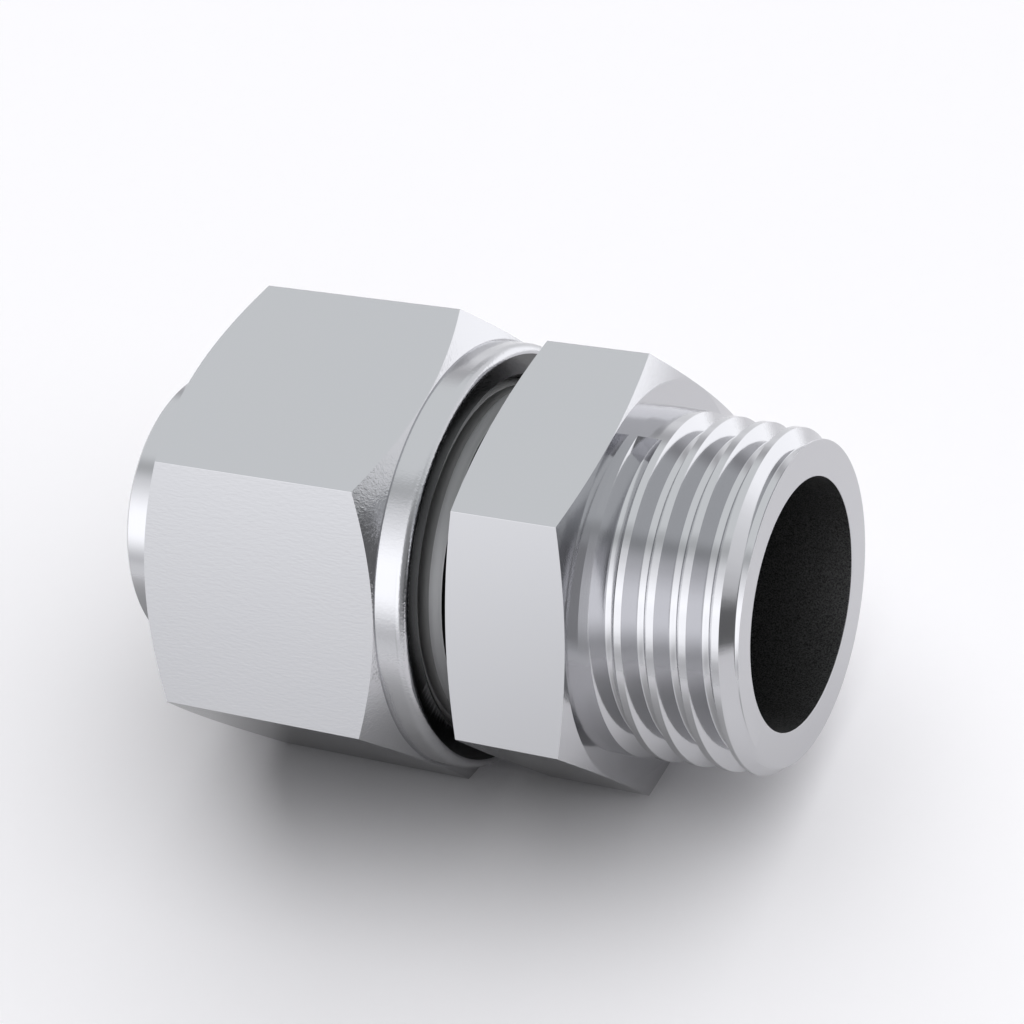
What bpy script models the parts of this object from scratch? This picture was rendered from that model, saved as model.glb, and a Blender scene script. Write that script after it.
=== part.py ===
"""Male tube adapter: a hexagon body with a tapered male stud thread at one end and, at the other,
a 24 degree cone in which a union nut draws a tube nipple with its seal ring.

The fitting lies on one flat of its nut. Its axis runs along X, the stud points to +X, +Z is up,
and the origin is on the ground under the middle of its length. Lengths are in metres."""
import math

import bmesh
import bpy

# Hexagons and collar, whose walls are counted from the crests of the nut's thread
NUT_WALL = 0.0040
BODY_WALL = 0.0015
COLLAR_WALL = 0.0037
NUT_CHAMFER_ANGLE = math.radians(30.0)
BODY_CHAMFER_ANGLE = math.radians(15.0)
FACE_CIRCLE_INSET = 0.0001
COLLAR_LENGTH = 0.0044
COLLAR_ROUND = 0.00135

# Lengths along the axis
STUD_LENGTH = 0.0213
BODY_HEX_LENGTH = 0.0175
SPIGOT_LENGTH = 0.0287
NUT_GAP = 0.0050
NUT_LENGTH = 0.0404
NIPPLE_PROJECTION = 0.0100

# Bore, with the socket and the 24 degree cone that hold the nipple
BORE_DIAMETER = 0.0343
SOCKET_CLEARANCE = 0.0003
SOCKET_DEPTH = 0.0130
CONE_MOUTH_RISE = 0.0023
CONE_HALF_ANGLE = math.radians(12.0)
CONE_DEPTH = 0.0088

# Spigot and its fastening thread, plain at its pitch diameter: 52 mm over the real crests
SPIGOT_LIP = 0.0037
NUT_THREAD_PITCH = 0.0020
NUT_THREAD_CHAMFER = 0.0012
NUT_MOUTH_CHAMFER = 0.0004
NECK_RELIEF = 0.00135
NECK_LENGTH = 0.0062
NECK_ROUND = 0.0010

# Tube nipple
NIPPLE_WALL = 0.00285
NIPPLE_BEVEL = 0.0005
NIPPLE_DEPTH = 0.0080
SHOULDER_CLEARANCE = 0.0019
SHOULDER_LENGTH = 0.0040
SHOULDER_STANDOFF = 0.0010
SHOULDER_ANGLE = math.radians(45.0)

# Seal ring and its groove in the nipple's cone
SEAL_SECTION = 0.0019
SEAL_GROOVE_OFFSET = 0.0022
SEAL_GROOVE_WIDTH = 0.0030

# Stud thread, cut on a taper of 1 in 16. The wall is from the bore to the crests at the end
STUD_WALL = 0.0060
STUD_TAPER = 1.0 / 16.0
STUD_PITCH = 0.0045
STUD_THREAD_DEPTH = 0.00218
FLANK_ANGLE = math.radians(30.0)
STUD_LAND_DROP = 0.00105
STUD_LAND_LENGTH = 0.0005
THREAD_START = 0.0024
THREAD_START_ANGLE = math.radians(78.0)

# Clearances and smoothness
SEAT_GAP = 0.0003
CUTTER_MARGIN = 0.0005
ROUND_STEPS = 60
FILLET_STEPS = 3
SEAL_STEPS = 10

# Stations along the axis, counted from the body's stud side face
STUD_END = STUD_LENGTH
HEX_BACK = -BODY_HEX_LENGTH
SPIGOT_END = HEX_BACK - SPIGOT_LENGTH
NUT_FACE = HEX_BACK - NUT_GAP
NUT_BACK = NUT_FACE - NUT_LENGTH
NIPPLE_END = NUT_BACK - NIPPLE_PROJECTION
MIDDLE = (STUD_END + NIPPLE_END) / 2

# Radii that several pieces share
BORE_RADIUS = BORE_DIAMETER / 2
NIPPLE_RADIUS = BORE_RADIUS + NIPPLE_WALL
SOCKET_RADIUS = NIPPLE_RADIUS + SOCKET_CLEARANCE
CONE_MOUTH_RADIUS = NIPPLE_RADIUS + CONE_MOUTH_RISE
THREAD_CREST_RADIUS = CONE_MOUTH_RADIUS + SPIGOT_LIP
THREAD_PITCH_RADIUS = THREAD_CREST_RADIUS - NUT_THREAD_PITCH * 3 * math.sqrt(3) / 16
SPIGOT_THREAD_RADIUS = THREAD_PITCH_RADIUS - SEAT_GAP / 2
NUT_THREAD_RADIUS = THREAD_PITCH_RADIUS + SEAT_GAP / 2
NECK_RADIUS = SPIGOT_THREAD_RADIUS - NECK_RELIEF
SHOULDER_RADIUS = NUT_THREAD_RADIUS - SHOULDER_CLEARANCE
COLLAR_RADIUS = THREAD_CREST_RADIUS + COLLAR_WALL
STUD_END_RADIUS = BORE_RADIUS + STUD_WALL
STUD_LAND_RADIUS = STUD_END_RADIUS - STUD_LAND_DROP

# Hexagons, with the nut's lowest flat on the ground
NUT_ACROSS_FLATS = 2 * (THREAD_CREST_RADIUS + NUT_WALL)
BODY_ACROSS_FLATS = 2 * (THREAD_CREST_RADIUS + BODY_WALL)
AXIS_HEIGHT = NUT_ACROSS_FLATS / 2


def collection(name):
    """A new collection in the scene."""
    group = bpy.data.collections.new(name)
    bpy.context.scene.collection.children.link(group)
    return group


def finish(name, colour, metallic, roughness):
    """A Principled material of one colour."""
    material = bpy.data.materials.new(name)
    material.use_nodes = True
    shader = material.node_tree.nodes["Principled BSDF"]
    shader.inputs["Base Color"].default_value = (*colour, 1.0)
    shader.inputs["Metallic"].default_value = metallic
    shader.inputs["Roughness"].default_value = roughness
    return material


def place(name, mesh, group):
    """An object on the fitting's axis, with its own Z laid along the world's X."""
    piece = bpy.data.objects.new(name, mesh)
    piece.location = (-MIDDLE, 0.0, AXIS_HEIGHT)
    piece.rotation_euler = (0.0, math.pi / 2, 0.0)
    group.objects.link(piece)
    return piece


def turned(name, outline, group):
    """A turned piece. Its outline is a loop of (station, radius) that runs from the stud end
    along the outside to the tube end, and back along the inside."""
    mesh = bpy.data.meshes.new(name)
    shape = bmesh.new()
    loop = [shape.verts.new((radius, 0.0, station)) for station, radius in outline]
    for first, second in zip(loop, loop[1:] + loop[:1]):
        shape.edges.new((first, second))
    shape.to_mesh(mesh)
    shape.free()
    piece = place(name, mesh, group)
    spin = piece.modifiers.new("Turn", "SCREW")
    spin.axis = "Z"
    spin.angle = math.tau
    spin.steps = ROUND_STEPS
    spin.render_steps = ROUND_STEPS
    spin.use_merge_vertices = True
    spin.merge_threshold = 0.00001
    return piece


def hexagon_cutter(name, across_flats, group):
    """A long hexagonal bar on the axis, with a flat underneath."""
    mesh = bpy.data.meshes.new(name)
    shape = bmesh.new()
    bmesh.ops.create_cone(
        shape,
        cap_ends=True,
        segments=6,
        radius1=across_flats / math.sqrt(3),
        radius2=across_flats / math.sqrt(3),
        depth=3 * (STUD_END - NIPPLE_END),
    )
    shape.to_mesh(mesh)
    shape.free()
    return hide_cutter(place(name, mesh, group))


def hide_cutter(cutter):
    """Marks an object as a cutter."""
    cutter.hide_render = True
    cutter.display_type = "WIRE"
    return cutter


def combine(piece, operation, cutter):
    """A Boolean of a piece with a cutter."""
    step = piece.modifiers.new(operation.title(), "BOOLEAN")
    step.operation = operation
    step.solver = "EXACT"
    step.object = cutter


def quarter_round(station, radius, round_radius, start_degrees):
    """Points of a quarter turn of an edge round or fillet about (station, radius), counted from
    the stud end towards the tube end by way of growing angle from +station."""
    points = []
    for step in range(FILLET_STEPS + 1):
        angle = math.radians(start_degrees + 90.0 * step / FILLET_STEPS)
        points.append((station + round_radius * math.cos(angle), radius + round_radius * math.sin(angle)))
    return points


def hexagon_outline(front, back, across_flats, chamfer_angle):
    """Outside of a hexagon's blank, with the chamfer cones that cut its corners at both ends."""
    face_radius = across_flats / 2 - FACE_CIRCLE_INSET
    blank_radius = across_flats / math.sqrt(3) + CUTTER_MARGIN
    rise = (blank_radius - face_radius) * math.tan(chamfer_angle)
    return [
        (front, face_radius),
        (front - rise, blank_radius),
        (back + rise, blank_radius),
        (back, face_radius),
    ]


def stud_radius(station):
    """Radius over the stud thread's crests at a station."""
    return STUD_END_RADIUS + (STUD_END - station) * STUD_TAPER / 2


def cone_radius(station):
    """Radius of the spigot's 24 degree cone at a station."""
    return CONE_MOUTH_RADIUS - (station - SPIGOT_END) * math.tan(CONE_HALF_ANGLE)


def body_outline():
    """Section of the adapter body: stud, hexagon, neck, thread and cone."""
    chamfer_foot = STUD_END - STUD_LAND_LENGTH
    slope = STUD_TAPER / 2
    chamfer_top = chamfer_foot - (stud_radius(chamfer_foot) - STUD_LAND_RADIUS) / (1 - slope)
    stud = [
        (STUD_END, BORE_RADIUS),
        (STUD_END, STUD_LAND_RADIUS),
        (chamfer_foot, STUD_LAND_RADIUS),
        (chamfer_top, stud_radius(chamfer_top)),
        (0.0, stud_radius(0.0)),
    ]
    neck_end = HEX_BACK - NECK_LENGTH
    neck_fillet = quarter_round(HEX_BACK - NECK_ROUND, NECK_RADIUS + NECK_ROUND, NECK_ROUND, -90.0)
    spigot = list(reversed(neck_fillet)) + [
        (neck_end, NECK_RADIUS),
        (neck_end - NECK_RELIEF, SPIGOT_THREAD_RADIUS),
        (SPIGOT_END + NUT_THREAD_CHAMFER, SPIGOT_THREAD_RADIUS),
        (SPIGOT_END, SPIGOT_THREAD_RADIUS - NUT_THREAD_CHAMFER),
    ]
    cone_end = SPIGOT_END + CONE_DEPTH
    socket_end = SPIGOT_END + SOCKET_DEPTH
    inside = [
        (SPIGOT_END, cone_radius(SPIGOT_END)),
        (cone_end, cone_radius(cone_end)),
        (cone_end, SOCKET_RADIUS),
        (socket_end, SOCKET_RADIUS),
        (socket_end, BORE_RADIUS),
    ]
    hexagon = hexagon_outline(0.0, HEX_BACK, BODY_ACROSS_FLATS, BODY_CHAMFER_ANGLE)
    return stud + hexagon + spigot + inside


def nipple_shoulder_front():
    """Station of the nipple shoulder's front face."""
    return SPIGOT_END - SHOULDER_STANDOFF


def nipple_cone_radius(station):
    """Radius of the nipple's cone, which seats in the spigot's."""
    return cone_radius(station) - SEAT_GAP / math.cos(CONE_HALF_ANGLE)


def seal_middle():
    """Station of the seal ring's middle."""
    return SPIGOT_END + SEAL_GROOVE_OFFSET + SEAL_GROOVE_WIDTH / 2


def seal_radius():
    """Radius of the circle along which the seal ring's section runs: it clears the spigot's cone."""
    reach = (SEAL_SECTION / 2 + SEAT_GAP) / math.cos(CONE_HALF_ANGLE)
    return cone_radius(seal_middle()) - reach


def nipple_outline():
    """Section of the tube nipple: cone with seal groove, shoulder and tube end."""
    inner_end = SPIGOT_END + NIPPLE_DEPTH
    groove_bottom = seal_radius() - SEAL_SECTION / 2 - SEAT_GAP
    groove_back = seal_middle() - SEAL_GROOVE_WIDTH / 2
    groove_front = seal_middle() + SEAL_GROOVE_WIDTH / 2
    front = nipple_shoulder_front()
    back = front - SHOULDER_LENGTH
    return [
        (inner_end, BORE_RADIUS),
        (inner_end, nipple_cone_radius(inner_end) - NIPPLE_BEVEL),
        (inner_end - NIPPLE_BEVEL, nipple_cone_radius(inner_end - NIPPLE_BEVEL)),
        (groove_front, nipple_cone_radius(groove_front)),
        (groove_front, groove_bottom),
        (groove_back, groove_bottom),
        (groove_back, nipple_cone_radius(groove_back)),
        (front, nipple_cone_radius(front)),
        (front, SHOULDER_RADIUS),
        (back, SHOULDER_RADIUS),
        (back - (SHOULDER_RADIUS - NIPPLE_RADIUS) / math.tan(SHOULDER_ANGLE), NIPPLE_RADIUS),
        (NIPPLE_END + NIPPLE_BEVEL, NIPPLE_RADIUS),
        (NIPPLE_END, NIPPLE_RADIUS - NIPPLE_BEVEL),
        (NIPPLE_END, BORE_RADIUS),
    ]


def seal_outline():
    """Round section of the seal ring, from its stud side over the outside to its tube side."""
    points = []
    for step in range(SEAL_STEPS):
        angle = math.tau * step / SEAL_STEPS
        points.append((
            seal_middle() + SEAL_SECTION / 2 * math.cos(angle),
            seal_radius() + SEAL_SECTION / 2 * math.sin(angle),
        ))
    return points


def nut_outline():
    """Section of the union nut: collar, hexagon, back hole, inner cone and thread bore."""
    hole_radius = NIPPLE_RADIUS + SEAT_GAP
    hex_front = NUT_FACE - COLLAR_LENGTH
    collar = [(NUT_FACE, NUT_THREAD_RADIUS + NUT_MOUTH_CHAMFER)]
    collar += quarter_round(NUT_FACE - COLLAR_ROUND, COLLAR_RADIUS - COLLAR_ROUND, COLLAR_ROUND, 0.0)
    collar += [(hex_front, COLLAR_RADIUS)]
    # The inner cone lies parallel to the nipple's shoulder, one seat gap behind it
    shoulder_back = nipple_shoulder_front() - SHOULDER_LENGTH
    slope = math.tan(SHOULDER_ANGLE)
    gap = SEAT_GAP / math.sin(SHOULDER_ANGLE)
    cone_start = shoulder_back - gap - (SHOULDER_RADIUS - hole_radius) / slope
    cone_end = cone_start + (NUT_THREAD_RADIUS - hole_radius) / slope
    inside = [
        (NUT_BACK, hole_radius),
        (cone_start, hole_radius),
        (cone_end, NUT_THREAD_RADIUS),
        (NUT_FACE - NUT_MOUTH_CHAMFER, NUT_THREAD_RADIUS),
    ]
    hexagon = hexagon_outline(hex_front, NUT_BACK, NUT_ACROSS_FLATS, NUT_CHAMFER_ANGLE)
    return collar + hexagon + inside


def thread_cutter(name, group):
    """The helical groove of the stud thread, as a solid to cut away. It is right handed, follows
    the taper, and starts beside the hexagon at full depth, with a flat end wall."""
    root_flat = (STUD_PITCH - 2 * STUD_THREAD_DEPTH * math.tan(FLANK_ANGLE)) / 2
    height = STUD_THREAD_DEPTH + CUTTER_MARGIN
    top_half = root_flat / 2 + height * math.tan(FLANK_ANGLE)
    section = [(-root_flat / 2, 0.0), (root_flat / 2, 0.0), (top_half, height), (-top_half, height)]
    reach = STUD_END + top_half - THREAD_START
    count = math.ceil(reach / STUD_PITCH * ROUND_STEPS)
    mesh = bpy.data.meshes.new(name)
    shape = bmesh.new()
    rings = []
    for step in range(count + 1):
        turn = math.tau * step / ROUND_STEPS
        angle = THREAD_START_ANGLE + turn
        middle = THREAD_START + STUD_PITCH * turn / math.tau
        ring = []
        for along, above in section:
            station = middle + along
            radius = stud_radius(station) - STUD_THREAD_DEPTH + above
            # Own Z lies along the world's X, own X points to the world's -Z
            ring.append(shape.verts.new((-radius * math.sin(angle), radius * math.cos(angle), station)))
        rings.append(ring)
    for first, second in zip(rings, rings[1:]):
        for corner in range(len(section)):
            following = (corner + 1) % len(section)
            shape.faces.new((first[corner], first[following], second[following], second[corner]))
    shape.faces.new(tuple(reversed(rings[0])))
    shape.faces.new(tuple(rings[-1]))
    bmesh.ops.recalc_face_normals(shape, faces=shape.faces)
    shape.to_mesh(mesh)
    shape.free()
    return hide_cutter(place(name, mesh, group))


def main():
    """Clears the scene and builds the fitting."""
    for old in list(bpy.data.objects):
        bpy.data.objects.remove(old)
    parts = collection("male_tube_adapter")
    cutters = collection("cutters")
    plated = finish("plated_steel", (0.62, 0.63, 0.65), 1.0, 0.18)
    turned_steel = finish("turned_steel", (0.60, 0.60, 0.61), 1.0, 0.14)
    rubber = finish("nitrile_rubber", (0.02, 0.02, 0.02), 0.0, 0.6)

    body = turned("adapter_body", body_outline(), parts)
    combine(body, "INTERSECT", hexagon_cutter("body_hexagon", BODY_ACROSS_FLATS, cutters))
    combine(body, "DIFFERENCE", thread_cutter("stud_groove", cutters))
    body.data.materials.append(turned_steel)

    nut = turned("union_nut", nut_outline(), parts)
    combine(nut, "INTERSECT", hexagon_cutter("nut_hexagon", NUT_ACROSS_FLATS, cutters))
    nut.data.materials.append(plated)

    nipple = turned("tube_nipple", nipple_outline(), parts)
    nipple.data.materials.append(turned_steel)

    seal = turned("seal_ring", seal_outline(), parts)
    seal.data.materials.append(rubber)


main()
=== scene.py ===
"""Looks of the male tube adapter: a finer body, union nut, tube nipple and seal ring with their
real threads, bright turned and plated steel, and a white studio."""

import math

import bmesh
import bpy
from mathutils import Matrix, Vector


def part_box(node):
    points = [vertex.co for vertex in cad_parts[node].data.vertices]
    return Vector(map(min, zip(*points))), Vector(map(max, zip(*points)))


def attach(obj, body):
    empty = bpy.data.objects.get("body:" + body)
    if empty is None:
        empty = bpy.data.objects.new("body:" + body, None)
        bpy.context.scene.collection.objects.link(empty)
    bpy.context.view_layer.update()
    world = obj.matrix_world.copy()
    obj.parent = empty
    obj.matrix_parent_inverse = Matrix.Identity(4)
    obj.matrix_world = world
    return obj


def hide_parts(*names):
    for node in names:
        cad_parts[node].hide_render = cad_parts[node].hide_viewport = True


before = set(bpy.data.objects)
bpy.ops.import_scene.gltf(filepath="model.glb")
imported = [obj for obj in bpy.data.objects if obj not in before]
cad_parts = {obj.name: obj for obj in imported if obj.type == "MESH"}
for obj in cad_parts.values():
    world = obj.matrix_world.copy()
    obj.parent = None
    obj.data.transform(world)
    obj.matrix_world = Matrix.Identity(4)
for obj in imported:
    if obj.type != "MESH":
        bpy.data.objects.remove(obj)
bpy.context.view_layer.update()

# Stations along the fitting's axis, which is the world's X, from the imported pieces
body_low, body_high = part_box("adapter_body")
nut_low, nut_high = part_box("union_nut")
nipple_low, nipple_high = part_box("tube_nipple")
STUD_END = body_high.x
SPIGOT_END = body_low.x
NUT_FACE = nut_high.x
NUT_BACK = nut_low.x
NIPPLE_END = nipple_low.x
NIPPLE_INNER_END = nipple_high.x
AXIS_HEIGHT = (nut_low.z + nut_high.z) / 2
NUT_ACROSS_FLATS = nut_high.z - nut_low.z
BODY_ACROSS_FLATS = body_high.z - body_low.z

# Adapter body
STUD_LENGTH = 0.0213
BODY_HEX_LENGTH = 0.0175
BODY_CHAMFER_ANGLE = math.radians(15.0)
HEX_FRONT = STUD_END - STUD_LENGTH
HEX_BACK = HEX_FRONT - BODY_HEX_LENGTH
FACE_CIRCLE_INSET = 0.0001
BORE_RADIUS = 0.01715
NECK_RADIUS = 0.02385
NECK_LENGTH = 0.0062
UNDERCUT_WIDTH = 0.0022
UNDERCUT_DEPTH = 0.0008
# Length of the neck by the nut's mouth that gets painted shade
NECK_PAINTED_SHADE_LENGTH = 0.0005
SOCKET_RADIUS = 0.0203
SOCKET_DEPTH = 0.0130
CONE_MOUTH_RADIUS = 0.0223
CONE_HALF_ANGLE = math.radians(12.0)
CONE_DEPTH = 0.0088

# Stud thread, on a taper of 1 in 16
STUD_END_RADIUS = 0.02315
STUD_TAPER = 1.0 / 32.0
STUD_PITCH = 0.0045
STUD_THREAD_DEPTH = 0.00218
FLANK_ANGLE = math.radians(30.0)
STUD_LAND_RADIUS = 0.0221
STUD_LAND_LENGTH = 0.0005
THREAD_START = HEX_FRONT + 0.0024
THREAD_START_ANGLE = math.radians(78.0)

# Fastening thread between spigot and nut
NUT_THREAD_PITCH = 0.0020
SPIGOT_CREST_RADIUS = 0.0259
SPIGOT_THREAD_DEPTH = 0.00105
NUT_CREST_RADIUS = 0.0250
NUT_THREAD_DEPTH = 0.00105
FINE_ROOT_FLAT = 0.0004
SPIGOT_CHAMFER = 0.0014
FINE_RUN_OUT = math.radians(90.0)

# Union nut
NUT_CHAMFER_ANGLE = math.radians(30.0)
COLLAR_RADIUS = 0.0297
COLLAR_LENGTH = 0.0044
COLLAR_ROUND = 0.00135
NUT_MOUTH_CHAMFER = 0.0003
NUT_HOLE_RADIUS = 0.0203

# Tube nipple and its seal
NIPPLE_RADIUS = 0.0200
NIPPLE_BEVEL = 0.0005
SHOULDER_RADIUS = 0.0236
SHOULDER_LENGTH = 0.0040
SHOULDER_STANDOFF = 0.0010
SHOULDER_ANGLE = math.radians(45.0)
SEAL_SECTION = 0.0019
SEAL_GROOVE_OFFSET = 0.0022
SEAL_GROOVE_WIDTH = 0.0030
SEAT_GAP = 0.0003

# Smoothness
TURN_STEPS = 300
ARC_STEPS = 12
EDGE_ROUND = 0.00012
EDGE_STEPS = 3
SMOOTH_CORNER = math.radians(10.0)
CREASE_ANGLE = math.radians(35.0)
HEX_HALF_CORNER = math.radians(30.0)
CUTTER_MARGIN = 0.0005
BAR_LENGTHS = 4
MERGE_DISTANCE = 0.000001
LONGEST_EASE = 0.4
SEAL_STEPS = 32

# Steel: colours, roughness, and the scale and depth of its marks
STEEL_COLOURS = ((0.556, 0.558, 0.576, 1.0), (0.563, 0.563, 0.578, 1.0))
# The neck's colours: pale at the nut, darker at the hexagon, which is painted shade
NECK_PALE_TO_SHADE_COLOURS = ((0.72, 0.725, 0.735, 1.0), (0.36, 0.362, 0.368, 1.0))
# Painted shade on the neck by the nut's mouth and on the slope under the nut
NECK_START_SHADE_COLOURS = ((0.36, 0.36, 0.36, 1.0), (0.42, 0.42, 0.42, 1.0))
TURNED_ROUGHNESS = 0.10
PLATING_ROUGHNESS = 0.11
NECK_ROUGHNESS = 0.52
NECK_START_SHADE_ROUGHNESS = 0.62
ROUGHNESS_LOW = 0.85
ROUGHNESS_SPREAD = 0.3
PATCH_SCALE = 60.0
RING_SCALE = 9000.0
RING_DRIFT = 2.0
RING_DEPTH = 0.0000014
GRAIN_SCALE = 2500.0
GRAIN_DEPTH = 0.0000006

# Plating: waves along the flats, and a leathery grain on the chamfers and, weaker, on the collar
WAVE_SCALE = 1000.0
WAVE_STRETCH = 3.0
WAVE_DEPTH = 0.000006
LEATHER_SCALE = 1400.0
LEATHER_DEPTH = 0.00006
LEATHER_SLOPE = (0.2, 0.5)
LEATHER_COLLAR = (COLLAR_RADIUS + 0.0002, COLLAR_RADIUS + 0.0001)
LEATHER_COLLAR_SHARE = 0.35

# Dark colours: painted shade on the steel in the bores, on the nut's end face, in the threads and
# in the undercut, and the black rubber. Each has its deepest and its lightest colour
BORE_SHADE_COLOURS = ((0.05, 0.05, 0.05, 1.0), (0.22, 0.22, 0.22, 1.0))
BORE_ROUGHNESS = 0.5
NUT_FACE_SHADE_COLOURS = ((0.09, 0.09, 0.09, 1.0), (0.13, 0.13, 0.13, 1.0))
MOUTH_ROUGHNESS = 0.2
THREAD_SHADE_COLOURS = ((0.02, 0.02, 0.02, 1.0), (0.05, 0.05, 0.05, 1.0))
THREAD_ROUGHNESS = 0.4
SHADE_GRAIN_SCALE = 4500.0
SHADE_GRAIN_RANGE = (0.3, 0.7)
SHADE_GRAIN_DEPTH = 0.000004
SHADE_ROUGHNESS_LOW = 0.8
SHADE_ROUGHNESS_SPREAD = 0.4
RUBBER_COLOURS = ((0.012, 0.012, 0.013, 1.0), (0.03, 0.03, 0.031, 1.0))
RUBBER_ROUGHNESS_LOW = 0.5
RUBBER_ROUGHNESS_SPREAD = 0.2
RUBBER_GRAIN_SCALE = 1500.0
RUBBER_GRAIN_DEPTH = 0.00003

# Faces that are chosen for a finish: the least part of the normal along the axis on an end face
END_FACING = 0.99

# Studio that the steel mirrors. An area is a list of soft edges: the direction, where the area
# starts and where it is full, and at times the share that it has before its start. "x", "y" and "z"
# are the world's, and "clock" is the angle round the fitting's axis in degrees: 0 in front, 90
# above and 180 behind. "add" adds its amount to the level, "dim" takes that share of it away, and
# "become" brings it to the amount
PANEL_LEVEL = 0.82
PANEL_TINT = (0.995, 1.0, 1.025, 1.0)
OVERHEAD_TINT = (0.92, 0.945, 0.958, 1.0)
OVERHEAD = (("clock", 60.0, 80.0), ("clock", 160.0, 140.0))
STUDIO_AREAS = (
    # Softbox in front, over a bright floor
    ("add", 0.13, (("clock", -1.0, -8.0),)),
    ("add", 0.20, (("clock", -2.0, 22.0),)),
    ("add", 0.75, (("clock", -2.0, 22.0), ("clock", 70.0, 36.0))),
    # Its weaker part, which the front flats mirror, and weakest low down
    ("dim", 0.16, (
        ("clock", -25.0, -12.0), ("clock", 40.0, 30.0), ("clock", 10.0, 4.0, 0.4375),
        ("x", -0.5, -0.38), ("x", -0.15, -0.3))),
    # Dark gaps above the softbox and behind
    ("add", -0.33, (("clock", 65.0, 77.0), ("clock", 89.0, 77.0))),
    ("add", -0.40, (("clock", 142.0, 158.0), ("clock", 174.0, 158.0), ("x", 0.35, 0.1))),
    # Low light behind
    ("add", 0.60, (("y", 0.3, 0.7), ("z", 0.06, -0.04), ("x", -0.1, 0.3))),
    # Past the softbox's end, on the stud's side
    ("become", 0.47, (("clock", -6.0, 6.0), ("clock", 78.0, 64.0), ("x", 0.22, 0.5))),
    ("dim", 0.28, (("x", 0.5, 0.8), ("y", 0.3, 0.05))),
    # Dark wall beyond the stud's end
    ("become", 0.17, (("x", 0.8, 0.93), ("y", 0.14, 0.05), ("z", 0.2, 0.08))),
)

# Light on matt surfaces: from all round, and from the broad lamp above and behind
MATT_LEVEL = 0.13
LAMP_LEVEL = 3.8
LAMP_WIDTH = math.radians(125.0)
LAMP_SIDE = (0.567, 0.822, 1.0)

# Backdrop and floor. In the steel the floor has a painted shadow, which makes it dimmer than to the
# camera, most of all just in front of the fitting, and past its reach the studio shows instead
BACKDROP_COLOUR = (0.97, 0.965, 1.0, 1.0)
FLOOR_SIZE = 2.0
FLOOR_COLOURS = ((0.965, 0.96, 0.99, 1.0), (0.975, 0.97, 1.0, 1.0))
FLOOR_PATCH_SCALE = 300.0
# Painted shadow of the floor in the steel: its colour, its least share, and where it is full
MIRRORED_FLOOR_SHADOW_COLOUR = (0.50, 0.50, 0.51, 1.0)
MIRRORED_FLOOR_SHADOW_SHARE = 0.12
SHADOW_NEAR_FRONT = (("y", 0.0, -0.04), ("y", -0.17, -0.05), ("x", 0.06, 0.02))
MIRRORED_FLOOR_MIDDLE = (0.02, -0.06)
MIRRORED_FLOOR_REACH = (0.15, 0.19)

# Camera
CAMERA_TARGET = Vector((0.00636, 0.0, 0.03983))
CAMERA_AZIMUTH = math.radians(38.23)
CAMERA_ELEVATION = math.radians(43.80)
CAMERA_ROLL = math.radians(-19.81)
CAMERA_DISTANCE = 0.42727
CAMERA_LENS = 110.68
CAMERA_SENSOR = 36.0
CAMERA_NEAREST = 0.01


def turned(name, outline):
    """A turned piece. Its outline is a loop of (station, radius) that runs from the stud end
    along the outside to the tube end, and back along the inside."""
    mesh = bpy.data.meshes.new(name)
    shape = bmesh.new()
    loop = [shape.verts.new((radius, 0.0, station)) for station, radius in outline]
    for first, second in zip(loop, loop[1:] + loop[:1]):
        shape.edges.new((first, second))
    shape.to_mesh(mesh)
    shape.free()
    piece = on_axis(name, mesh)
    spin = piece.modifiers.new("Turn", "SCREW")
    spin.axis = "Z"
    spin.angle = math.tau
    spin.steps = TURN_STEPS
    spin.render_steps = TURN_STEPS
    spin.use_merge_vertices = True
    spin.merge_threshold = MERGE_DISTANCE
    return piece


def on_axis(name, mesh):
    """An object whose own Z lies along the fitting's axis, and whose own X points down."""
    piece = bpy.data.objects.new(name, mesh)
    lie_down = Matrix.Rotation(math.pi / 2, 4, "Y")
    piece.matrix_world = Matrix.Translation((0.0, 0.0, AXIS_HEIGHT)) @ lie_down
    bpy.context.scene.collection.objects.link(piece)
    return piece


def eased(outline, radius):
    """The outline with a small round on each of its outer corners."""
    points = []
    for index, corner in enumerate(outline):
        here = Vector(corner)
        before = Vector(outline[index - 1])
        after = Vector(outline[(index + 1) % len(outline)])
        arriving = here - before
        leaving = after - here
        turn = arriving.angle(leaving)
        if turn < SMOOTH_CORNER or arriving.cross(leaving) < 0.0:
            points.append(corner)
            continue
        shortest = min(arriving.length, leaving.length)
        reach = min(radius * math.tan(turn / 2), LONGEST_EASE * shortest)
        start = here - arriving.normalized() * reach
        end = here + leaving.normalized() * reach
        for step in range(EDGE_STEPS + 1):
            share = step / EDGE_STEPS
            point = start.lerp(here, share).lerp(here.lerp(end, share), share)
            points.append((point.x, point.y))
    return points


def arc(station, radius, round_radius):
    """Points of a quarter turn about (station, radius), from the stud's side to the outside."""
    points = []
    for step in range(ARC_STEPS + 1):
        angle = math.radians(90.0 * step / ARC_STEPS)
        along = round_radius * math.cos(angle)
        out = round_radius * math.sin(angle)
        points.append((station + along, radius + out))
    return points


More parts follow.
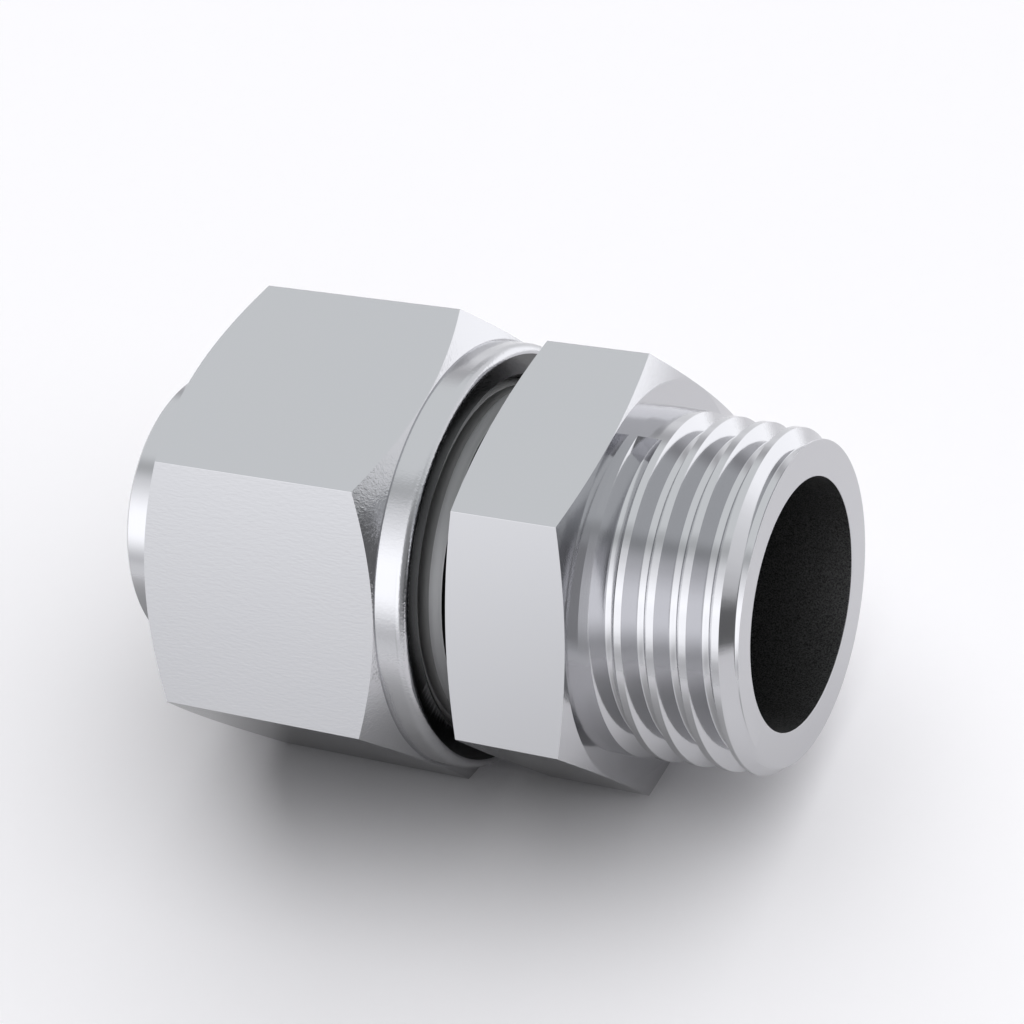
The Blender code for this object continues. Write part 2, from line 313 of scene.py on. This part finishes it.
def hexagon_bar(name, across_flats):
    """A long hexagonal bar with softened edges, which cuts the flats of a turned blank."""
    mesh = bpy.data.meshes.new(name)
    shape = bmesh.new()
    bmesh.ops.create_cone(
        shape,
        cap_ends=True,
        segments=6,
        radius1=across_flats / math.sqrt(3),
        radius2=across_flats / math.sqrt(3),
        depth=BAR_LENGTHS * (STUD_END - NIPPLE_END),
    )
    long_edges = [e for e in shape.edges if abs(e.verts[0].co.z - e.verts[1].co.z) > across_flats]
    bmesh.ops.bevel(
        shape,
        geom=long_edges,
        offset=EDGE_ROUND * math.tan(HEX_HALF_CORNER),
        offset_type="OFFSET",
        segments=EDGE_STEPS,
        profile=0.5,
        affect="EDGES",
    )
    shape.to_mesh(mesh)
    shape.free()
    return on_axis(name, mesh)


def helical_groove(
        name, section, crest_radius, start, reach, pitch, start_angle, run_out, outward):
    """A groove's section swept along a right-handed helix. The section is a loop of (along, depth
    below the crest), and the crest's radius is a function of the station. Over the turn of the
    run-out the groove sinks in, and without one it starts at full depth with a flat end wall. It
    is outward in a nut's bore."""
    deepest = max(depth for _, depth in section)
    count = math.ceil(reach / pitch * TURN_STEPS)
    mesh = bpy.data.meshes.new(name)
    shape = bmesh.new()
    rings = []
    for step in range(count + 1):
        turn = math.tau * step / TURN_STEPS
        angle = start_angle + turn
        middle = start + pitch * turn / math.tau
        lift = (deepest + CUTTER_MARGIN) * max(0.0, 1.0 - turn / run_out) if run_out else 0.0
        ring = []
        for along, depth in section:
            station = middle + along
            sunk = depth - lift
            radius = crest_radius(station) + (sunk if outward else -sunk)
            down, across = -radius * math.sin(angle), radius * math.cos(angle)
            ring.append(shape.verts.new((down, across, station)))
        rings.append(ring)
    for first, second in zip(rings, rings[1:]):
        for corner in range(len(section)):
            following = (corner + 1) % len(section)
            shape.faces.new((first[corner], first[following], second[following], second[corner]))
    shape.faces.new(tuple(reversed(rings[0])))
    shape.faces.new(tuple(rings[-1]))
    bmesh.ops.recalc_face_normals(shape, faces=shape.faces)
    shape.to_mesh(mesh)
    shape.free()
    return on_axis(name, mesh)


def groove_section(root_flat, depth, root_round):
    """V of a thread groove: a root flat with rounded corners, and flanks that pass the crest."""
    slope = math.tan(FLANK_ANGLE)
    top = root_flat / 2 + (depth + CUTTER_MARGIN) * slope
    half = []
    corner = Vector((root_flat / 2, depth))
    along = Vector((-1.0, 0.0))
    up = Vector((slope, -1.0)).normalized()
    start = corner + along * root_round
    end = corner + up * root_round
    for step in range(EDGE_STEPS + 1):
        share = step / EDGE_STEPS
        point = start.lerp(corner, share).lerp(corner.lerp(end, share), share)
        half.append((point.x, point.y))
    half.append((top, -CUTTER_MARGIN))
    return [(-x, y) for x, y in half] + [(x, y) for x, y in reversed(half)]


def stud_crest(station):
    """Radius over the stud thread's crests."""
    return STUD_END_RADIUS + (STUD_END - station) * STUD_TAPER


def spigot_crest(station):
    """Radius over the crests of the spigot's thread."""
    return SPIGOT_CREST_RADIUS


def nut_crest(station):
    """Radius over the crests inside the nut."""
    return NUT_CREST_RADIUS


def cone_radius(station):
    """Radius of the spigot's 24 degree cone."""
    return CONE_MOUTH_RADIUS - (station - SPIGOT_END) * math.tan(CONE_HALF_ANGLE)


def hexagon_blank(front, back, across_flats, chamfer_angle):
    """Outside of a hexagon's blank, with the chamfer cones that cut its corners."""
    face_radius = across_flats / 2 - FACE_CIRCLE_INSET
    blank_radius = across_flats / math.sqrt(3) + CUTTER_MARGIN
    rise = (blank_radius - face_radius) * math.tan(chamfer_angle)
    return [
        (front, face_radius),
        (front - rise, blank_radius),
        (back + rise, blank_radius),
        (back, face_radius),
    ]


def body_outline():
    """Section of the adapter body."""
    chamfer_foot = STUD_END - STUD_LAND_LENGTH
    chamfer_top = chamfer_foot - (stud_crest(chamfer_foot) - STUD_LAND_RADIUS) / (1 - STUD_TAPER)
    neck_end = HEX_BACK - NECK_LENGTH
    cone_end = SPIGOT_END + CONE_DEPTH
    socket_end = SPIGOT_END + SOCKET_DEPTH
    stud = [
        (STUD_END, BORE_RADIUS),
        (STUD_END, STUD_LAND_RADIUS),
        (chamfer_foot, STUD_LAND_RADIUS),
        (chamfer_top, stud_crest(chamfer_top)),
        (HEX_FRONT, stud_crest(HEX_FRONT)),
    ]
    undercut_radius = NECK_RADIUS - UNDERCUT_DEPTH
    spigot = [
        (HEX_BACK, undercut_radius),
        (HEX_BACK - UNDERCUT_WIDTH, undercut_radius),
        (HEX_BACK - UNDERCUT_WIDTH - UNDERCUT_DEPTH / 2, NECK_RADIUS),
        (NUT_FACE + NECK_PAINTED_SHADE_LENGTH, NECK_RADIUS),
        (neck_end, NECK_RADIUS),
        (neck_end - (SPIGOT_CREST_RADIUS - NECK_RADIUS), SPIGOT_CREST_RADIUS),
        (SPIGOT_END + SPIGOT_CHAMFER, SPIGOT_CREST_RADIUS),
        (SPIGOT_END, SPIGOT_CREST_RADIUS - SPIGOT_CHAMFER),
        (SPIGOT_END, CONE_MOUTH_RADIUS),
        (cone_end, cone_radius(cone_end)),
        (cone_end, SOCKET_RADIUS),
        (socket_end, SOCKET_RADIUS),
        (socket_end, BORE_RADIUS),
    ]
    hexagon = hexagon_blank(HEX_FRONT, HEX_BACK, BODY_ACROSS_FLATS, BODY_CHAMFER_ANGLE)
    return eased(stud + hexagon + spigot, EDGE_ROUND)


def nut_outline():
    """Section of the union nut."""
    hex_front = NUT_FACE - COLLAR_LENGTH
    collar = [(NUT_FACE, NUT_CREST_RADIUS + NUT_MOUTH_CHAMFER)]
    collar += arc(NUT_FACE - COLLAR_ROUND, COLLAR_RADIUS - COLLAR_ROUND, COLLAR_ROUND)
    collar += [(hex_front, COLLAR_RADIUS)]
    shoulder_back = SPIGOT_END - SHOULDER_STANDOFF - SHOULDER_LENGTH
    slope = math.tan(SHOULDER_ANGLE)
    gap = SEAT_GAP / math.sin(SHOULDER_ANGLE)
    cone_start = shoulder_back - gap - (SHOULDER_RADIUS - NUT_HOLE_RADIUS) / slope
    cone_end = cone_start + (NUT_CREST_RADIUS - NUT_HOLE_RADIUS) / slope
    inside = [
        (NUT_BACK, NUT_HOLE_RADIUS),
        (cone_start, NUT_HOLE_RADIUS),
        (cone_end, NUT_CREST_RADIUS),
        (NUT_FACE - NUT_MOUTH_CHAMFER, NUT_CREST_RADIUS),
    ]
    hexagon = hexagon_blank(hex_front, NUT_BACK, NUT_ACROSS_FLATS, NUT_CHAMFER_ANGLE)
    return eased(collar + hexagon + inside, EDGE_ROUND)


def seal_middle():
    """Station of the seal ring's middle."""
    return SPIGOT_END + SEAL_GROOVE_OFFSET + SEAL_GROOVE_WIDTH / 2


def seal_radius():
    """Radius of the circle along which the seal ring's section runs."""
    reach = (SEAL_SECTION / 2 + SEAT_GAP) / math.cos(CONE_HALF_ANGLE)
    return cone_radius(seal_middle()) - reach


def nipple_outline():
    """Section of the tube nipple: cone with seal groove, shoulder and tube end."""
    def seat(station):
        return cone_radius(station) - SEAT_GAP / math.cos(CONE_HALF_ANGLE)

    groove_bottom = seal_radius() - SEAL_SECTION / 2 - SEAT_GAP
    groove_back = seal_middle() - SEAL_GROOVE_WIDTH / 2
    groove_front = seal_middle() + SEAL_GROOVE_WIDTH / 2
    front = SPIGOT_END - SHOULDER_STANDOFF
    back = front - SHOULDER_LENGTH
    outline = [
        (NIPPLE_INNER_END, BORE_RADIUS),
        (NIPPLE_INNER_END, seat(NIPPLE_INNER_END) - NIPPLE_BEVEL),
        (NIPPLE_INNER_END - NIPPLE_BEVEL, seat(NIPPLE_INNER_END - NIPPLE_BEVEL)),
        (groove_front, seat(groove_front)),
        (groove_front, groove_bottom),
        (groove_back, groove_bottom),
        (groove_back, seat(groove_back)),
        (front, seat(front)),
        (front, SHOULDER_RADIUS),
        (back, SHOULDER_RADIUS),
        (back - (SHOULDER_RADIUS - NIPPLE_RADIUS) / math.tan(SHOULDER_ANGLE), NIPPLE_RADIUS),
        (NIPPLE_END + NIPPLE_BEVEL, NIPPLE_RADIUS),
        (NIPPLE_END, NIPPLE_RADIUS - NIPPLE_BEVEL),
        (NIPPLE_END, BORE_RADIUS),
    ]
    return eased(outline, EDGE_ROUND)


def combine(piece, operation, cutter):
    """A Boolean of a piece with a cutter."""
    step = piece.modifiers.new(operation.title(), "BOOLEAN")
    step.operation = operation
    step.solver = "MANIFOLD"
    step.object = cutter


def finished(piece, cutters=()):
    """The piece with its modifiers applied and their cutters removed, smooth over its turned faces
    and creased at its edges."""
    bpy.context.view_layer.update()
    graph = bpy.context.evaluated_depsgraph_get()
    mesh = bpy.data.meshes.new_from_object(piece.evaluated_get(graph))
    piece.modifiers.clear()
    piece.data = mesh
    for cutter in cutters:
        bpy.data.objects.remove(cutter)
    mesh.shade_smooth()
    mesh.set_sharp_from_angle(angle=CREASE_ANGLE)
    weigh = piece.modifiers.new("Flat faces stay flat", "WEIGHTED_NORMAL")
    weigh.mode = "FACE_AREA"
    weigh.keep_sharp = True
    return piece


def adapter_body():
    """The body with its tapered stud thread and the fine thread of its spigot."""
    body = turned("body_fine", body_outline())
    bar = hexagon_bar("body_bar", BODY_ACROSS_FLATS)
    root_flat = (STUD_PITCH - 2 * STUD_THREAD_DEPTH * math.tan(FLANK_ANGLE)) / 2
    section = groove_section(root_flat, STUD_THREAD_DEPTH, EDGE_ROUND)
    reach = STUD_END + root_flat + STUD_THREAD_DEPTH - THREAD_START
    stud_groove = helical_groove(
        "stud_groove", section, stud_crest, THREAD_START, reach,
        STUD_PITCH, THREAD_START_ANGLE, 0.0, outward=False)
    fine_section = groove_section(FINE_ROOT_FLAT, SPIGOT_THREAD_DEPTH, EDGE_ROUND)
    fine_start = SPIGOT_END - NUT_THREAD_PITCH
    fine_reach = HEX_BACK - NECK_LENGTH + NUT_THREAD_PITCH - fine_start
    spigot_groove = helical_groove(
        "spigot_groove", fine_section, spigot_crest, fine_start, fine_reach,
        NUT_THREAD_PITCH, 0.0, FINE_RUN_OUT, outward=False)
    combine(body, "INTERSECT", bar)
    combine(body, "DIFFERENCE", stud_groove)
    combine(body, "DIFFERENCE", spigot_groove)
    return finished(body, (bar, stud_groove, spigot_groove))


def union_nut():
    """The union nut with its inside thread, whose ridges run in the spigot's grooves."""
    nut = turned("nut_fine", nut_outline())
    bar = hexagon_bar("nut_bar", NUT_ACROSS_FLATS)
    section = groove_section(FINE_ROOT_FLAT, NUT_THREAD_DEPTH, EDGE_ROUND)
    start = SPIGOT_END - NUT_THREAD_PITCH / 2
    groove = helical_groove(
        "nut_groove", section, nut_crest, start, NUT_FACE + NUT_THREAD_PITCH - start,
        NUT_THREAD_PITCH, 0.0, FINE_RUN_OUT, outward=True)
    combine(nut, "INTERSECT", bar)
    combine(nut, "DIFFERENCE", groove)
    return finished(nut, (bar, groove))


def tube_nipple():
    """The tube nipple."""
    return finished(turned("nipple_fine", nipple_outline()))


def camera():
    """The camera at the photograph's viewpoint."""
    level = math.cos(CAMERA_ELEVATION)
    back = Vector((
        math.sin(CAMERA_AZIMUTH) * level,
        -math.cos(CAMERA_AZIMUTH) * level,
        math.sin(CAMERA_ELEVATION),
    ))
    data = bpy.data.cameras.new("Camera")
    data.lens = CAMERA_LENS
    data.sensor_width = CAMERA_SENSOR
    data.clip_start = CAMERA_NEAREST
    eye = bpy.data.objects.new("Camera", data)
    upright = back.to_track_quat("Z", "Y").to_matrix().to_4x4()
    turn = Matrix.Rotation(CAMERA_ROLL, 4, back) @ upright
    eye.matrix_world = Matrix.Translation(CAMERA_TARGET + back * CAMERA_DISTANCE) @ turn
    bpy.context.scene.collection.objects.link(eye)
    bpy.context.scene.camera = eye


class Wire:
    """An output socket in a node tree. Arithmetic on it adds the Math nodes that do it."""

    def __init__(self, drawing, socket):
        self.drawing = drawing
        self.socket = socket

    def maths(self, operation, *values):
        """A Math node of wires and numbers, in the order given."""
        sockets = dict(enumerate(values))
        return self.drawing.node("ShaderNodeMath", {"operation": operation}, sockets)

    def __add__(self, other):
        return self.maths("ADD", self, other)

    __radd__ = __add__

    def __mul__(self, other):
        return self.maths("MULTIPLY", self, other)

    __rmul__ = __mul__

    def __sub__(self, other):
        return self.maths("SUBTRACT", self, other)

    def __rsub__(self, other):
        return self.maths("SUBTRACT", other, self)

    def __pow__(self, other):
        return self.maths("POWER", self, other)

    def __neg__(self):
        return self.maths("MULTIPLY", self, -1.0)

    def __abs__(self):
        return self.maths("ABSOLUTE", self)

    def at_most(self, limit):
        """This wire, held to a limit."""
        return self.maths("MINIMUM", self, limit)

    def ramp(self, start, stop, low=0.0, high=1.0):
        """A smooth step from low at the start to high at the stop."""
        return self.drawing.node(
            "ShaderNodeMapRange",
            {"interpolation_type": "SMOOTHSTEP"},
            {"Value": self, "From Min": start, "From Max": stop, "To Min": low, "To Max": high})


class Drawing:
    """A node tree of a material or the world, drawn by adding nodes."""

    def __init__(self, owner):
        owner.use_nodes = True
        self.tree = owner.node_tree

    def node(self, kind, settings=None, sockets=None, output=0):
        """Any node, by its type: its settings are set first, then its sockets get their values or
        wires. Gives the named or numbered output."""
        made = self.tree.nodes.new(kind)
        for name, value in (settings or {}).items():
            setattr(made, name, value)
        self.fill(made, sockets or {})
        return Wire(self, made.outputs[output])

    def fill(self, made, sockets):
        """Sets the sockets of a node to values or wires."""
        for name, value in sockets.items():
            if isinstance(value, Wire):
                self.tree.links.new(value.socket, made.inputs[name])
            else:
                made.inputs[name].default_value = value

    def axes(self, output):
        """The three parts of a texture coordinate."""
        place = self.node("ShaderNodeTexCoord", output=output)
        parts = self.node("ShaderNodeSeparateXYZ", sockets={"Vector": place}).socket.node
        return [Wire(self, part) for part in parts.outputs]

    def angle(self, up, across):
        """The angle of a pair of wires, in radians."""
        return self.node("ShaderNodeMath", {"operation": "ARCTAN2"}, {0: up, 1: across})

    def vector(self, x, y, z):
        """A vector of three wires or numbers."""
        return self.node("ShaderNodeCombineXYZ", sockets={"X": x, "Y": y, "Z": z})

    def blend(self, share, first, second):
        """A mix of two colours."""
        sockets = {0: share, 6: first, 7: second}
        return self.node("ShaderNodeMix", {"data_type": "RGBA"}, sockets, output=2)

    def noise(self, place, scale, detail=2.0, roughness=0.5):
        """Smooth noise from 0 to 1."""
        sockets = {"Vector": place, "Scale": scale, "Detail": detail, "Roughness": roughness}
        return self.node("ShaderNodeTexNoise", sockets=sockets, output="Fac")

    def bump(self, height, distance, normal=None):
        """A bump of the height, whose full range is the distance in metres."""
        sockets = {"Height": height, "Distance": distance}
        if normal:
            sockets["Normal"] = normal
        return self.node("ShaderNodeBump", sockets=sockets)


def new_material(name):
    """A material, its drawing and its Principled shader."""
    material = bpy.data.materials.new(name)
    drawing = Drawing(material)
    return material, drawing, drawing.tree.nodes["Principled BSDF"]


def soft_area(directions, edges):
    """The share of an area, from 0 outside its soft edges to 1 inside them. Each edge is the name
    of one of the directions, and what its ramp takes."""
    first, *others = [directions[name].ramp(*stops) for name, *stops in edges]
    return math.prod(others, start=first)


def turning_marks(drawing):
    """Height of the fine rings that a lathe leaves round the fitting's axis."""
    x, y, z = drawing.axes("Object")
    radius = (x * x + y * y) ** 0.5
    drift = drawing.angle(y, x) * RING_DRIFT
    rings = drawing.vector(z * RING_SCALE, radius * RING_SCALE, drift)
    return drawing.noise(rings, 1.0, detail=3.0, roughness=0.6)


def steel(name, colours, roughness):
    """Steel in two close colours, with turning marks and a fine grain."""
    material, drawing, shader = new_material(name)
    place = drawing.node("ShaderNodeTexCoord", output="Object")
    grain = drawing.noise(place, GRAIN_SCALE)
    patches = drawing.noise(place, PATCH_SCALE)
    marks = turning_marks(drawing)
    drawing.fill(shader, {
        "Base Color": drawing.blend(patches, *colours),
        "Metallic": 1.0,
        "Roughness": roughness * (ROUGHNESS_LOW + ROUGHNESS_SPREAD * marks),
        "Normal": drawing.bump(grain, GRAIN_DEPTH, normal=drawing.bump(marks, RING_DEPTH)),
    })
    return material


def neck_steel(name):
    """Dull gray steel with turning marks, and painted shade that darkens it towards the hexagon."""
    material, drawing, shader = new_material(name)
    station = drawing.axes("Object")[2]
    marks = turning_marks(drawing)
    # Painted shade: the colour darkens from the nut towards the hexagon
    shade_towards_hexagon = station.ramp(NUT_FACE + NECK_PAINTED_SHADE_LENGTH, HEX_BACK - UNDERCUT_WIDTH)
    drawing.fill(shader, {
        "Base Color": drawing.blend(shade_towards_hexagon, *NECK_PALE_TO_SHADE_COLOURS),
        "Metallic": 1.0,
        "Roughness": NECK_ROUGHNESS * (ROUGHNESS_LOW + ROUGHNESS_SPREAD * marks),
        "Normal": drawing.bump(marks, RING_DEPTH),
    })
    return material


def plating(name):
    """Bright plated steel: soft waves along the milled flats, and a leathery grain on the turned
    chamfers and collar."""
    material, drawing, shader = new_material(name)
    place = drawing.node("ShaderNodeTexCoord", output="Object")
    x, y, z = drawing.axes("Object")
    stretched = drawing.vector(x * WAVE_STRETCH, y * WAVE_STRETCH, z)
    waves = drawing.noise(stretched, WAVE_SCALE, detail=3.0, roughness=0.6)
    leather = abs(drawing.noise(place, LEATHER_SCALE, detail=3.0, roughness=0.6) - 0.5)
    chamfer = abs(drawing.axes("Normal")[2]).ramp(*LEATHER_SLOPE)
    collar = ((x * x + y * y) ** 0.5).ramp(*LEATHER_COLLAR, 0.0, LEATHER_COLLAR_SHARE)
    leather = leather * (chamfer + collar).at_most(1.0)
    patches = drawing.noise(place, PATCH_SCALE)
    drawing.fill(shader, {
        "Base Color": drawing.blend(patches, *STEEL_COLOURS),
        "Metallic": 1.0,
        "Roughness": PLATING_ROUGHNESS * (ROUGHNESS_LOW + ROUGHNESS_SPREAD * patches),
        "Normal": drawing.bump(leather, LEATHER_DEPTH, normal=drawing.bump(waves, WAVE_DEPTH)),
    })
    return material


def shade_painted_steel(name, colours, roughness):
    """Steel painted dark for the shade in hollows and narrow gaps, with a fine grain."""
    material, drawing, shader = new_material(name)
    place = drawing.node("ShaderNodeTexCoord", output="Object")
    grain = drawing.noise(place, SHADE_GRAIN_SCALE, detail=3.0, roughness=0.7)
    drawing.fill(shader, {
        "Base Color": drawing.blend(grain.ramp(*SHADE_GRAIN_RANGE), *colours),
        "Metallic": 1.0,
        "Roughness": roughness * (SHADE_ROUGHNESS_LOW + SHADE_ROUGHNESS_SPREAD * grain),
        "Normal": drawing.bump(grain, SHADE_GRAIN_DEPTH),
    })
    return material


def rubber(name):
    """Black nitrile rubber."""
    material, drawing, shader = new_material(name)
    place = drawing.node("ShaderNodeTexCoord", output="Object")
    grain = drawing.noise(place, RUBBER_GRAIN_SCALE, detail=3.0)
    drawing.fill(shader, {
        "Base Color": drawing.blend(grain, *RUBBER_COLOURS),
        "Roughness": RUBBER_ROUGHNESS_LOW + RUBBER_ROUGHNESS_SPREAD * grain,
        "Normal": drawing.bump(grain, RUBBER_GRAIN_DEPTH),
    })
    return material


def studio():
    """The world. The steel mirrors long softboxes that lie along the fitting, with dark gaps
    between them and a dark wall beyond the stud. Matt surfaces get one plain level, and the camera
    sees a white backdrop."""
    world = bpy.data.worlds.new("World")
    bpy.context.scene.world = world
    drawing = Drawing(world)
    x, y, z = drawing.axes("Generated")
    clock = drawing.angle(z, -y) * math.degrees(1.0)
    directions = {"x": x, "y": y, "z": z, "clock": clock}
    level = PANEL_LEVEL
    for change, amount, edges in STUDIO_AREAS:
        share = soft_area(directions, edges)
        if change == "add":
            level = level + amount * share
        elif change == "dim":
            level = level * (1.0 - amount * share)
        else:
            level = level * (1.0 - share) + amount * share
    tint = drawing.blend(soft_area(directions, OVERHEAD), PANEL_TINT, OVERHEAD_TINT)

    def ray(kind):
        return drawing.node("ShaderNodeLightPath", output=kind)

    def background(colour, strength):
        sockets = {"Color": colour, "Strength": strength}
        return drawing.node("ShaderNodeBackground", sockets=sockets)

    def mix(share, first, second):
        return drawing.node("ShaderNodeMixShader", sockets={0: share, 1: first, 2: second})

    mirrored = ray("Is Glossy Ray") * (1.0 - ray("Diffuse Depth").at_most(1.0))
    seen = ray("Is Camera Ray") + ray("Is Transmission Ray")
    even = background((1.0, 1.0, 1.0, 1.0), MATT_LEVEL)
    light = mix(mirrored, even, background(tint, level))
    surface = mix(seen, light, background(BACKDROP_COLOUR, 1.0))
    drawing.fill(drawing.tree.nodes["World Output"], {"Surface": surface})


def soft_lamp(name, level, width):
    """A broad soft lamp above and behind, whose light the metal doesn't mirror."""
    lamp = bpy.data.lights.new(name, "SUN")
    lamp.energy = level
    lamp.angle = width
    holder = bpy.data.objects.new(name, lamp)
    holder.rotation_euler = Vector(LAMP_SIDE).to_track_quat("Z", "Y").to_euler()
    holder.visible_glossy = False
    bpy.context.scene.collection.objects.link(holder)


def floor():
    """The pale floor, which the steel mirrors with a painted shadow."""
    mesh = bpy.data.meshes.new("floor")
    shape = bmesh.new()
    bmesh.ops.create_grid(shape, x_segments=1, y_segments=1, size=FLOOR_SIZE)
    shape.to_mesh(mesh)
    shape.free()
    ground = bpy.data.objects.new("floor", mesh)
    bpy.context.scene.collection.objects.link(ground)
    material, drawing, shader = new_material("floor")
    place = drawing.node("ShaderNodeTexCoord", output="Object")
    x, y, _ = drawing.axes("Object")
    mirrored = drawing.node("ShaderNodeLightPath", output="Is Glossy Ray")
    pale = drawing.blend(drawing.noise(place, FLOOR_PATCH_SCALE), *FLOOR_COLOURS)
    # Painted shadow: to glossy rays the floor is darker, most of all just in front of the fitting
    shadow_near_front = soft_area({"x": x, "y": y}, SHADOW_NEAR_FRONT)
    mirrored_shadow = mirrored * (MIRRORED_FLOOR_SHADOW_SHARE + (1.0 - MIRRORED_FLOOR_SHADOW_SHARE) * shadow_near_front)
    drawing.fill(shader, {
        "Base Color": drawing.blend(mirrored_shadow, pale, MIRRORED_FLOOR_SHADOW_COLOUR),
        "Roughness": 1.0,
        "Specular IOR Level": 0.0,
    })
    middle_x, middle_y = MIRRORED_FLOOR_MIDDLE
    distance = ((x - middle_x) ** 2.0 + (y - middle_y) ** 2.0) ** 0.5
    surface = drawing.node("ShaderNodeMixShader", sockets={
        0: mirrored * distance.ramp(*MIRRORED_FLOOR_REACH),
        1: Wire(drawing, shader.outputs[0]),
        2: drawing.node("ShaderNodeBsdfTransparent"),
    })
    drawing.fill(drawing.tree.nodes["Material Output"], {"Surface": surface})
    mesh.materials.append(material)


def seal_outline():
    """Round section of the seal ring."""
    points = []
    for step in range(SEAL_STEPS):
        angle = math.tau * step / SEAL_STEPS
        points.append((
            seal_middle() + SEAL_SECTION / 2 * math.cos(angle),
            seal_radius() + SEAL_SECTION / 2 * math.sin(angle),
        ))
    return points


def in_bore(station, radius, along, outward):
    """The through bore."""
    return radius < BORE_RADIUS + EDGE_ROUND / 4 and outward < 0.0


def in_undercut(station, radius, along, outward):
    """The undercut between the body's hexagon and its neck."""
    start = HEX_BACK - UNDERCUT_WIDTH - UNDERCUT_DEPTH
    return start < station < HEX_BACK and radius < NECK_RADIUS - EDGE_ROUND


def on_neck(station, radius, along, outward):
    """The body's plain neck."""
    start = NUT_FACE - NECK_LENGTH
    return start < station < HEX_BACK and abs(radius - NECK_RADIUS) < EDGE_ROUND


def in_painted_nut_shade(station, radius, along, outward):
    """The neck close to the nut's mouth, and the slope up to the first thread of the spigot:
    painted shade.
    """
    if on_neck(station, radius, along, outward):
        return station < NUT_FACE + NECK_PAINTED_SHADE_LENGTH
    neck_end = HEX_BACK - NECK_LENGTH
    at_slope = neck_end - NUT_THREAD_PITCH < station < neck_end
    return at_slope and radius > NECK_RADIUS + EDGE_ROUND / 4


def on_nut_mouth(station, radius, along, outward):
    """The end face of the nut's collar."""
    at_face = station > NUT_FACE - EDGE_ROUND and radius < COLLAR_RADIUS - COLLAR_ROUND
    return at_face and along > END_FACING


def in_nut_thread(station, radius, along, outward):
    """The nut's thread, and the small chamfer at its mouth."""
    at_mouth = station > NUT_FACE - NECK_LENGTH and radius < SPIGOT_CREST_RADIUS + EDGE_ROUND
    return at_mouth and along < END_FACING


def finish_where(piece, slot, chosen):
    """Gives a slot's material to the faces that are chosen by their station, their radius and
    their normal's parts along the axis and away from it."""
    for face in piece.data.polygons:
        middle = face.center
        radius = math.hypot(middle.x, middle.y)
        outward = (middle.x * face.normal.x + middle.y * face.normal.y) / radius
        if chosen(middle.z, radius, face.normal.z, outward):
            face.material_index = slot


def dress(piece, rides, node, slot, finish, *part_finishes):
    """Puts a piece in the place of its solid, with one finish all over, and then the finishes of
    its parts, each a material and a test of faces."""
    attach(piece, rides)
    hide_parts(node)
    piece.data.materials.clear()
    piece.data.materials.append(finish)
    for material, chosen in part_finishes:
        piece.data.materials.append(material)
        finish_where(piece, len(piece.data.materials) - 1, chosen)


body = adapter_body()
nut = union_nut()
nipple = tube_nipple()
seal = finished(turned("seal_fine", seal_outline()))

turned_steel = steel("turned_steel", STEEL_COLOURS, TURNED_ROUGHNESS)
# The neck's colours, its first stretch and the dark steels carry painted shade
neck_with_painted_shade = neck_steel("neck_steel")
neck_start_shade_paint = steel("neck_start_painted_shade", NECK_START_SHADE_COLOURS, NECK_START_SHADE_ROUGHNESS)
bore_shade_paint = shade_painted_steel("bore_painted_shade", BORE_SHADE_COLOURS, BORE_ROUGHNESS)
nut_face_shade_paint = shade_painted_steel("nut_face_painted_shade", NUT_FACE_SHADE_COLOURS, MOUTH_ROUGHNESS)
thread_shade_paint = shade_painted_steel("thread_painted_shade", THREAD_SHADE_COLOURS, THREAD_ROUGHNESS)

# Painted shade in the body's bore and undercut, on its neck by the nut's mouth and on the slope
# under the nut, and a neck that darkens towards the hexagon
dress(
    body, "body", "adapter_body", "turned_steel", turned_steel,
    (bore_shade_paint, in_bore), (neck_with_painted_shade, on_neck),
    (thread_shade_paint, in_undercut), (neck_start_shade_paint, in_painted_nut_shade))
# Painted shade on the nut's end face and in its thread
dress(
    nut, "nut", "union_nut", "plated_steel", plating("plated_steel"),
    (nut_face_shade_paint, on_nut_mouth), (thread_shade_paint, in_nut_thread))
# Painted shade in the nipple's bore
dress(
    nipple, "nipple", "tube_nipple", "nipple_steel", turned_steel,
    (bore_shade_paint, in_bore))
dress(seal, "nipple", "seal_ring", "nitrile_rubber", rubber("nitrile_rubber"))

studio()
soft_lamp("soft_lamp", LAMP_LEVEL, LAMP_WIDTH)
floor()
bpy.context.scene.view_settings.view_transform = "Standard"
camera()
